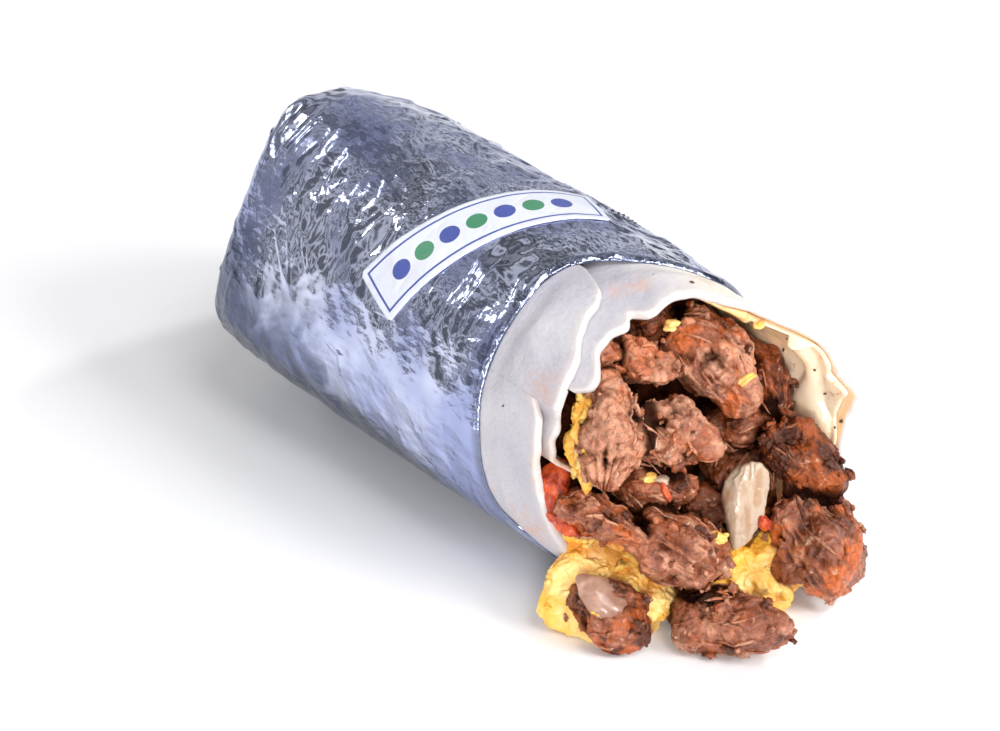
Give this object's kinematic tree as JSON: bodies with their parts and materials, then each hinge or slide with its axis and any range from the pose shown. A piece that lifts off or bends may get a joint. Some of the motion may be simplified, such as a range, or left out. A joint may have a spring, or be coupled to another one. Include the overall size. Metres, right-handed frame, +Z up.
{
  "type": "foil-wrapped burrito",
  "caption": "Breakfast burrito in crinkled foil lying on its side, its open end showing the flour tortilla's wrapped edges, beef, scrambled egg and cheese sauce spilling out.",
  "frame": {"origin": "on the flat of the foil's underside, below the middle of the roll's length", "axes": "+Z up, the roll lies along Y with its open end towards -Y, +X to the right seen from the open end"},
  "size_m": [0.0849, 0.1889, 0.0846],
  "materials": {
    "foil": "crinkled kitchen foil, bright",
    "label": "printed paper sticker, satin",
    "tortilla": "soft flour tortilla, matt",
    "filling": "cooked beef and egg packed together, moist",
    "sauce": "cheese sauce, glossy",
    "onion": "cooked onion, moist",
    "beef": "browned beef, moist",
    "egg": "scrambled egg, moist"
  },
  "bodies": {
    "root": {"foil_wrap": "foil", "label": "label", "tortilla": "tortilla", "packed_filling": "filling", "cheese_sauce": "sauce", "onion": "onion", "beef_far_right": "beef", "beef_floor_front": "beef", "beef_floor_left": "beef", "beef_lower": "beef", "beef_middle": "beef", "egg_front": "egg", "beef_top": "beef", "beef_left": "beef", "beef_right": "beef", "beef_long": "beef", "egg_floor": "egg", "egg_lip": "egg", "beef_onion_back": "beef", "beef_under_top": "beef", "beef_centre_left": "beef", "beef_strip": "beef", "beef_back_right": "beef", "beef_back_top": "beef", "egg_left": "egg", "beef_gap": "beef", "beef_floor_small": "beef", "beef_back_left": "beef"}
  },
  "joints": []
}
